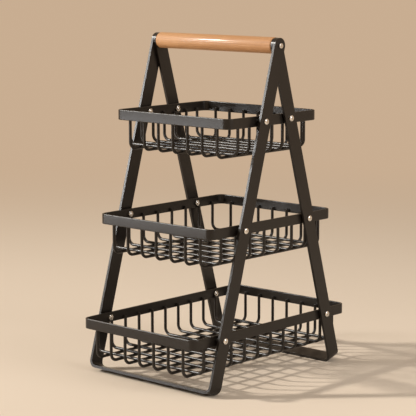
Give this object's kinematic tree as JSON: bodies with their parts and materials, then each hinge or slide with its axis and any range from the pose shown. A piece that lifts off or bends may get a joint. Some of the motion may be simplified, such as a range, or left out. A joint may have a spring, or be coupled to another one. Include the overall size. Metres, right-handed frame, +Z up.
{
  "type": "tiered fruit basket rack",
  "caption": "Free-standing rack of open wire baskets that grow in depth from top to bottom, bolted between two nested flat-bar frames that meet under a wooden carrying grip.",
  "frame": {"origin": "on the floor, centred under the wooden grip", "axes": "+X along the wooden grip, -Y towards the front frame and +Y towards the rear frame, +Z up"},
  "size_m": [0.222, 0.303, 0.4425],
  "materials": {
    "powder_coat": "satin black powder coat on mild steel",
    "nickel": "bright nickel plate on steel",
    "brass": "plain turned brass",
    "wood": "oiled beech, fine grain along the grip"
  },
  "bodies": {
    "rack": {"front_frame": "powder_coat", "rear_frame": "powder_coat", "top_rim": "powder_coat", "middle_rim": "powder_coat", "bottom_rim": "powder_coat", "top_wire_cage": "powder_coat", "middle_wire_cage": "powder_coat", "bottom_wire_cage": "powder_coat", "top_front_left_screw": "nickel", "top_front_left_spacer": "nickel", "top_front_left_nut": "nickel", "top_front_right_screw": "nickel", "top_front_right_spacer": "nickel", "top_front_right_nut": "nickel", "top_rear_left_screw": "nickel", "top_rear_left_spacer": "nickel", "top_rear_left_nut": "nickel", "top_rear_right_screw": "nickel", "top_rear_right_spacer": "nickel", "top_rear_right_nut": "nickel", "middle_front_left_screw": "nickel", "middle_front_left_spacer": "nickel", "middle_front_left_nut": "nickel", "middle_front_right_screw": "nickel", "middle_front_right_spacer": "nickel", "middle_front_right_nut": "nickel", "middle_rear_left_screw": "nickel", "middle_rear_left_spacer": "nickel", "middle_rear_left_nut": "nickel", "middle_rear_right_screw": "nickel", "middle_rear_right_spacer": "nickel", "middle_rear_right_nut": "nickel", "bottom_front_left_screw": "nickel", "bottom_front_left_spacer": "nickel", "bottom_front_left_nut": "nickel", "bottom_front_right_screw": "nickel", "bottom_front_right_spacer": "nickel", "bottom_front_right_nut": "nickel", "bottom_rear_left_screw": "nickel", "bottom_rear_left_spacer": "nickel", "bottom_rear_left_nut": "nickel", "bottom_rear_right_screw": "nickel", "bottom_rear_right_spacer": "nickel", "bottom_rear_right_nut": "nickel"},
    "grip": {"wooden_grip": "wood", "grip_insert_left": "brass", "grip_insert_right": "brass", "grip_screw_left": "nickel", "grip_screw_right": "nickel"}
  },
  "joints": [
    {"name": "grip_turn", "type": "hinge", "parent": "rack", "child": "grip", "pos_m": [0, 0, 0.432], "axis": [1, 0, 0], "continuous": true}
  ]
}
